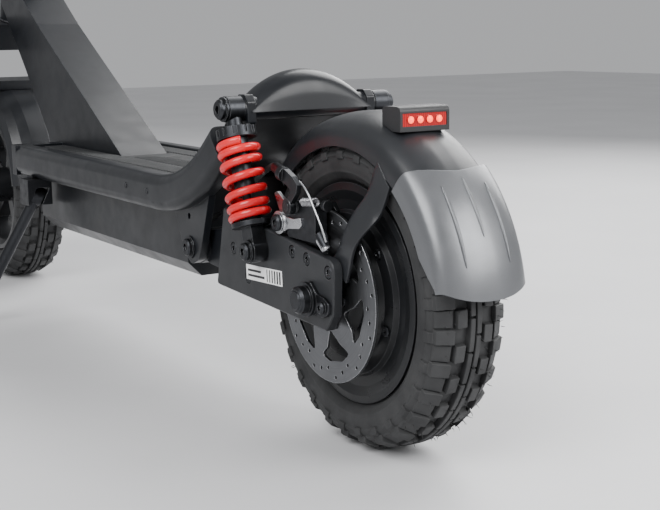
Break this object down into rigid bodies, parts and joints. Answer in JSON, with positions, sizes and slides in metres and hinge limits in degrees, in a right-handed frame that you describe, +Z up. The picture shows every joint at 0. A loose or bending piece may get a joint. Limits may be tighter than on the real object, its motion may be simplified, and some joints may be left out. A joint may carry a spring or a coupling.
{
  "type": "electric kick scooter",
  "caption": "Folding electric kick scooter: off-road tyres, twin red rear coil shocks on a swingarm, rear disc brake, low deck, sprung fork, upright stem with bar.",
  "frame": {"origin": "centre of the ground rectangle under the scooter", "axes": "+X forward, +Y to the rider's left, +Z up"},
  "size_m": [1.2068, 0.6, 1.1542],
  "materials": {
    "frame_paint": "satin blue-black paint",
    "plate_paint": "satin graphite",
    "black_plastic": "fine texture",
    "hub_black": "semi-gloss black",
    "alloy": "machined",
    "steel": "brushed",
    "black_steel": "blackened",
    "spring_red": "gloss red",
    "tyre_rubber": "matte rubber",
    "soft_rubber": "matte",
    "deck_rubber": "ribbed",
    "fender_black": "satin",
    "fender_grey": "satin pearl grey",
    "red_lens": "glossy red",
    "battery_wrap": "heat-shrink film",
    "copper_iron": "laminations with copper winding",
    "stem_paint": "satin black"
  },
  "bodies": {
    "frame": {"side_rails": "frame_paint", "shock_cross_tube": "frame_paint", "suspension_bolts": "steel", "battery_tray": "frame_paint", "deck_plate": "frame_paint", "deck_mat": "deck_rubber", "kickplate": "frame_paint", "frame_neck": "frame_paint", "headset_cups": "steel", "frame_screws": "black_steel", "battery_pack": "battery_wrap", "motor_controller": "alloy", "kickstand_bracket": "black_steel"},
    "kickstand": {"kickstand_leg": "black_steel"},
    "charge_flap": {"charge_cap": "soft_rubber"},
    "swingarm": {"swingarm_core": "frame_paint", "swingarm_plates": "plate_paint", "swingarm_bolts": "black_steel", "rear_axle": "steel", "axle_nuts": "black_steel", "rear_stator": "copper_iron", "caliper_bracket": "alloy", "caliper_body": "black_steel", "brake_pads": "black_plastic", "rear_brake_cable": "soft_rubber", "rear_fender": "fender_black", "fender_extension": "fender_grey", "tail_light_housing": "black_plastic", "tail_light_lens": "red_lens"},
    "rear_wheel": {"rear_tyre": "tyre_rubber", "rear_hub": "hub_black", "rear_hub_cover": "hub_black", "rear_bearings": "steel", "rear_rotor": "steel", "wheel_screws": "black_steel"},
    "brake_arm": {"caliper_arm": "black_steel"},
    "shock_uppers": {"shock_bodies": "black_steel", "preload_rings": "black_steel", "shock_springs": "spring_red"},
    "shock_lowers": {"shock_rods": "steel"},
    "steering": {"fork_crown": "frame_paint", "fold_base": "frame_paint"},
    "fork_slider": {"fork_lowers": "frame_paint", "front_axle": "steel", "front_fender": "fender_black"},
    "front_wheel": {"front_tyre": "tyre_rubber", "front_rim": "hub_black"},
    "stem": {"stem_tube": "stem_paint", "handlebar": "stem_paint", "grips": "soft_rubber", "lever_perches": "black_steel", "display_unit": "black_plastic", "switch_pod": "black_plastic", "headlight": "black_plastic"},
    "latch": {"fold_latch": "black_steel"},
    "left_lever": {"left_brake_lever": "alloy"},
    "right_lever": {"right_brake_lever": "alloy"},
    "throttle": {"throttle_lever": "black_plastic"},
    "mode_key": {"mode_button": "soft_rubber"},
    "horn_key": {"horn_button": "soft_rubber"}
  },
  "joints": [
    {"name": "swingarm_pivot", "type": "hinge", "parent": "frame", "child": "swingarm", "pos_m": [-0.24856, 0, 0.143], "axis": [0, 1, 0], "range_deg": [0, 7], "stiffness_Nm_per_rad": 1300, "springref_deg": -2.58},
    {"name": "rear_wheel_spin", "type": "hinge", "parent": "swingarm", "child": "rear_wheel", "pos_m": [-0.45556, 0, 0.129], "axis": [0, 1, 0], "continuous": true},
    {"name": "brake_arm_pull", "type": "hinge", "parent": "swingarm", "child": "brake_arm", "pos_m": [-0.42856, 0.068, 0.2], "axis": [0, -1, 0], "range_deg": [0, 8]},
    {"name": "shock_swing", "type": "hinge", "parent": "frame", "child": "shock_uppers", "pos_m": [-0.34356, 0, 0.274], "axis": [0, 1, 0], "range_deg": [-0.3, 1.3]},
    {"name": "shock_stroke", "type": "slide", "parent": "shock_uppers", "child": "shock_lowers", "axis": [0.2964, 0, 0.9551], "range_m": [0, 0.0165], "deforming": ["shock_springs"]},
    {"name": "steering_turn", "type": "hinge", "parent": "frame", "child": "steering", "pos_m": [0.47444, 0, 0.129], "axis": [-0.2588, 0, 0.9659], "range_deg": [-40, 40]},
    {"name": "fork_stroke", "type": "slide", "parent": "steering", "child": "fork_slider", "axis": [-0.2588, 0, 0.9659], "range_m": [0, 0.025], "stiffness_N_per_m": 12000, "springref_m": -0.016},
    {"name": "front_wheel_spin", "type": "hinge", "parent": "fork_slider", "child": "front_wheel", "pos_m": [0.47444, 0, 0.129], "axis": [0, 1, 0], "continuous": true},
    {"name": "stem_fold", "type": "hinge", "parent": "steering", "child": "stem", "pos_m": [0.34494, 0, 0.47321], "axis": [0, -1, 0], "range_deg": [0, 76]},
    {"name": "latch_open", "type": "hinge", "parent": "steering", "child": "latch", "pos_m": [0.41592, 0, 0.47877], "axis": [0, 1, 0], "range_deg": [0, 60]},
    {"name": "left_brake_pull", "type": "hinge", "parent": "stem", "child": "left_lever", "pos_m": [0.23683, 0.15, 1.13167], "axis": [-0.2588, 0, 0.9659], "range_deg": [0, 15], "stiffness_Nm_per_rad": 1.5, "springref_deg": -8.59},
    {"name": "right_brake_pull", "type": "hinge", "parent": "stem", "child": "right_lever", "pos_m": [0.23683, -0.15, 1.13167], "axis": [0.2588, 0, -0.9659], "range_deg": [0, 15], "stiffness_Nm_per_rad": 1.5, "springref_deg": -8.59},
    {"name": "throttle_press", "type": "hinge", "parent": "stem", "child": "throttle", "pos_m": [0.20786, -0.115, 1.1239], "axis": [0, -1, 0], "range_deg": [0, 25], "stiffness_Nm_per_rad": 0.25, "springref_deg": -11.46},
    {"name": "mode_press", "type": "slide", "parent": "stem", "child": "mode_key", "axis": [0.2588, 0, -0.9659], "range_m": [0, 0.0015], "stiffness_N_per_m": 400, "springref_m": -0.001},
    {"name": "horn_press", "type": "slide", "parent": "stem", "child": "horn_key", "axis": [0.9659, 0, 0.2588], "range_m": [0, 0.0015], "stiffness_N_per_m": 400, "springref_m": -0.001},
    {"name": "kickstand_swing", "type": "hinge", "parent": "frame", "child": "kickstand", "pos_m": [0.14444, 0.08, 0.152], "axis": [0.089, 0.8935, 0.4402], "range_deg": [0, 98]},
    {"name": "charge_cap_open", "type": "hinge", "parent": "frame", "child": "charge_flap", "pos_m": [0.10444, -0.0603, 0.169], "axis": [-1, 0, 0], "range_deg": [0, 85]}
  ],
  "couplings": [
    {"joint": "shock_swing", "follows": "swingarm_pivot", "ratio": 0.166},
    {"joint": "shock_stroke", "follows": "swingarm_pivot", "m_per_rad": 0.1306},
    {"joint": "brake_arm_pull", "follows": "right_brake_pull", "ratio": 0.5}
  ]
}
